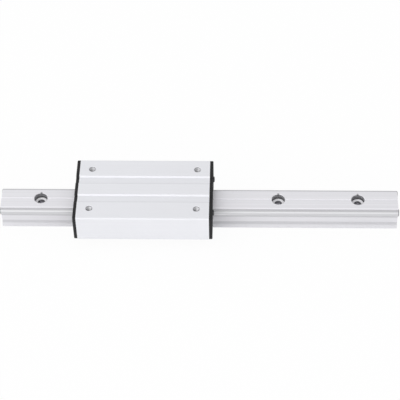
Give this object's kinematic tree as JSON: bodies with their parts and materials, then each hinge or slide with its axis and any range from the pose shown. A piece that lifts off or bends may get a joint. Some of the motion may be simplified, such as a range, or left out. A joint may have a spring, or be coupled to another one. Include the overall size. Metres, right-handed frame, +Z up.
{
  "type": "linear guide rail with slider",
  "caption": "Extruded aluminium guide rail with steel rods along its sides and a roller slider with black end plates, a channelled top and tapped load holes.",
  "frame": {"origin": "middle of the rail's underside", "axes": "+X along the rail, +Y across it to the rear, +Z up"},
  "size_m": [0.301, 0.06, 0.0311],
  "materials": {
    "rail_aluminium": "natural anodised extrusion with fine lengthwise die lines",
    "slider_aluminium": "natural anodised extrusion, satin",
    "rod_steel": "ground and hard-chromed",
    "black_plastic": "moulded, fine matt grain",
    "black_steel": "black oxide",
    "roller_steel": "ground bearing steel"
  },
  "bodies": {
    "rail": {"rail": "rail_aluminium", "rod_front": "rod_steel", "rod_rear": "rod_steel"},
    "slider": {"slider_body": "slider_aluminium", "end_plate_left": "black_plastic", "end_plate_right": "black_plastic", "roller_bolt_front_left": "black_steel", "roller_bolt_rear_left": "black_steel", "roller_bolt_front_right": "black_steel", "roller_bolt_rear_right": "black_steel"},
    "roller_front_left": {"roller_front_left": "roller_steel"},
    "roller_rear_left": {"roller_rear_left": "roller_steel"},
    "roller_front_right": {"roller_front_right": "roller_steel"},
    "roller_rear_right": {"roller_rear_right": "roller_steel"}
  },
  "joints": [
    {"name": "slider_slide", "type": "slide", "parent": "rail", "child": "slider", "axis": [1, 0, 0], "range_m": [-0.0566, 0.1394]},
    {"name": "roller_front_left_spin", "type": "hinge", "parent": "slider", "child": "roller_front_left", "pos_m": [-0.0714, -0.0186, 0.0159], "axis": [0, 0, 1], "continuous": true},
    {"name": "roller_rear_left_spin", "type": "hinge", "parent": "slider", "child": "roller_rear_left", "pos_m": [-0.0714, 0.0186, 0.0159], "axis": [0, 0, 1], "continuous": true},
    {"name": "roller_front_right_spin", "type": "hinge", "parent": "slider", "child": "roller_front_right", "pos_m": [-0.0114, -0.0186, 0.0159], "axis": [0, 0, 1], "continuous": true},
    {"name": "roller_rear_right_spin", "type": "hinge", "parent": "slider", "child": "roller_rear_right", "pos_m": [-0.0114, 0.0186, 0.0159], "axis": [0, 0, 1], "continuous": true}
  ],
  "couplings": [
    {"joint": "roller_front_left_spin", "follows": "slider_slide", "rad_per_m": 134.99},
    {"joint": "roller_rear_left_spin", "follows": "slider_slide", "rad_per_m": -134.99},
    {"joint": "roller_front_right_spin", "follows": "slider_slide", "rad_per_m": 134.99},
    {"joint": "roller_rear_right_spin", "follows": "slider_slide", "rad_per_m": -134.99}
  ]
}
